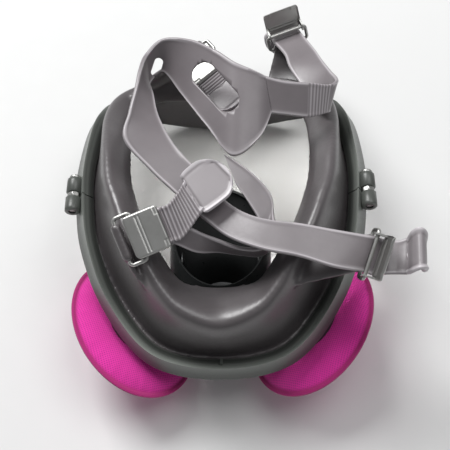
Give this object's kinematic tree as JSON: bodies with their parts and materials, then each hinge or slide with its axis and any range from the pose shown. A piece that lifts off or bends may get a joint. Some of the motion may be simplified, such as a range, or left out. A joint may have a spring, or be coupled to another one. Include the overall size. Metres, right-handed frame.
{
  "type": "full face respirator",
  "caption": "Full face respirator with a clear wrap-round lens in a two-piece frame, rubber face seal, silicone nose cup, bayonet filters and a buckled rubber head harness, lying face down.",
  "frame": {"origin": "centre of the flat front face of the exhalation cover, on the plane that the mask lies on", "axes": "+Z away from the surface towards the wearer's face, +Y from the chin to the forehead, +X to the right in plan"},
  "size_m": [0.203, 0.2569, 0.122],
  "materials": {
    "clear_lens": "clear polished",
    "frame_plastic": "fine satin",
    "steel": "satin",
    "seal_rubber": "smooth matte",
    "black_silicone": "smooth satin",
    "filter_cloth": "woven matte",
    "harness_rubber": "moulded matte",
    "dark_plastic": "satin"
  },
  "bodies": {
    "mask": {"lens": "clear_lens", "upper_frame": "frame_plastic", "lower_frame": "frame_plastic", "frame_screw_left": "steel", "frame_screw_right": "steel", "frame_nut_left": "steel", "frame_nut_right": "steel", "face_seal": "seal_rubber", "nose_cup": "black_silicone", "center_adapter": "dark_plastic", "adapter_gasket": "black_silicone", "adapter_ring": "dark_plastic", "exhalation_valve_seat": "dark_plastic", "exhalation_cover": "dark_plastic", "side_port_left": "dark_plastic", "side_port_right": "dark_plastic", "port_gasket_left": "black_silicone", "port_gasket_right": "black_silicone", "buckle_ring_lower_left": "steel", "buckle_ring_lower_right": "steel", "buckle_ring_upper_left": "steel", "buckle_ring_upper_right": "steel", "harness_crown": "harness_rubber", "strap_lower_left": "harness_rubber", "strap_lower_right": "harness_rubber", "strap_upper_left": "harness_rubber", "strap_upper_right": "harness_rubber", "strap_tail_lower_left": "harness_rubber", "strap_tail_lower_right": "harness_rubber", "strap_tail_upper_left": "harness_rubber", "strap_tail_upper_right": "harness_rubber"},
    "filter_right": {"filter_base_right": "dark_plastic", "filter_pad_right": "filter_cloth"},
    "inhalation_flap_right": {"inhalation_valve_right": "black_silicone"},
    "cup_flap_right": {"nose_cup_valve_right": "black_silicone"},
    "filter_left": {"filter_base_left": "dark_plastic", "filter_pad_left": "filter_cloth"},
    "inhalation_flap_left": {"inhalation_valve_left": "black_silicone"},
    "cup_flap_left": {"nose_cup_valve_left": "black_silicone"},
    "exhalation_flap": {"exhalation_valve": "black_silicone"},
    "lever_lower_left": {"buckle_lever_lower_left": "steel"},
    "lever_lower_right": {"buckle_lever_lower_right": "steel"},
    "lever_upper_left": {"buckle_lever_upper_left": "steel"},
    "lever_upper_right": {"buckle_lever_upper_right": "steel"}
  },
  "joints": [
    {"name": "filter_right_turn", "type": "hinge", "parent": "mask", "child": "filter_right", "pos_m": [0.0412, -0.0012, 0.03733], "axis": [-0.4601, 0.22, 0.8602], "range_deg": [0, 35]},
    {"name": "inhalation_valve_right_lift", "type": "slide", "parent": "mask", "child": "inhalation_flap_right", "axis": [-0.4601, 0.22, 0.8602], "range_m": [0, 0.0015], "stiffness_N_per_m": 60, "springref_m": -0.0005},
    {"name": "nose_cup_valve_right_lift", "type": "slide", "parent": "mask", "child": "cup_flap_right", "axis": [-1, 0, 0], "range_m": [0, 0.0012], "stiffness_N_per_m": 60, "springref_m": -0.0005},
    {"name": "filter_left_turn", "type": "hinge", "parent": "mask", "child": "filter_left", "pos_m": [-0.0412, -0.0012, 0.03733], "axis": [-0.4601, -0.22, -0.8602], "range_deg": [0, 35]},
    {"name": "inhalation_valve_left_lift", "type": "slide", "parent": "mask", "child": "inhalation_flap_left", "axis": [0.4601, 0.22, 0.8602], "range_m": [0, 0.0015], "stiffness_N_per_m": 60, "springref_m": -0.0005},
    {"name": "nose_cup_valve_left_lift", "type": "slide", "parent": "mask", "child": "cup_flap_left", "axis": [1, 0, 0], "range_m": [0, 0.0012], "stiffness_N_per_m": 60, "springref_m": -0.0005},
    {"name": "exhalation_valve_lift", "type": "slide", "parent": "mask", "child": "exhalation_flap", "axis": [0, 0, -1], "range_m": [0, 0.0015], "stiffness_N_per_m": 80, "springref_m": -0.0006},
    {"name": "buckle_lever_lower_left_lift", "type": "hinge", "parent": "mask", "child": "lever_lower_left", "pos_m": [-0.042, 0.013, 0.107], "axis": [0.3657, -0.8166, -0.4465], "range_deg": [0, 28]},
    {"name": "buckle_lever_lower_right_lift", "type": "hinge", "parent": "mask", "child": "lever_lower_right", "pos_m": [0.0806, 0.0008, 0.105], "axis": [0.3287, 0.8401, 0.4316], "range_deg": [0, 24]},
    {"name": "buckle_lever_upper_left_lift", "type": "hinge", "parent": "mask", "child": "lever_upper_left", "pos_m": [-0.013, 0.146, 0.086], "axis": [-0.7795, -0.5651, -0.2704], "range_deg": [0, 28]},
    {"name": "buckle_lever_upper_right_lift", "type": "hinge", "parent": "mask", "child": "lever_upper_right", "pos_m": [0.044, 0.185, 0.0682], "axis": [-0.943, -0.308, -0.1257], "range_deg": [0, 24]}
  ]
}
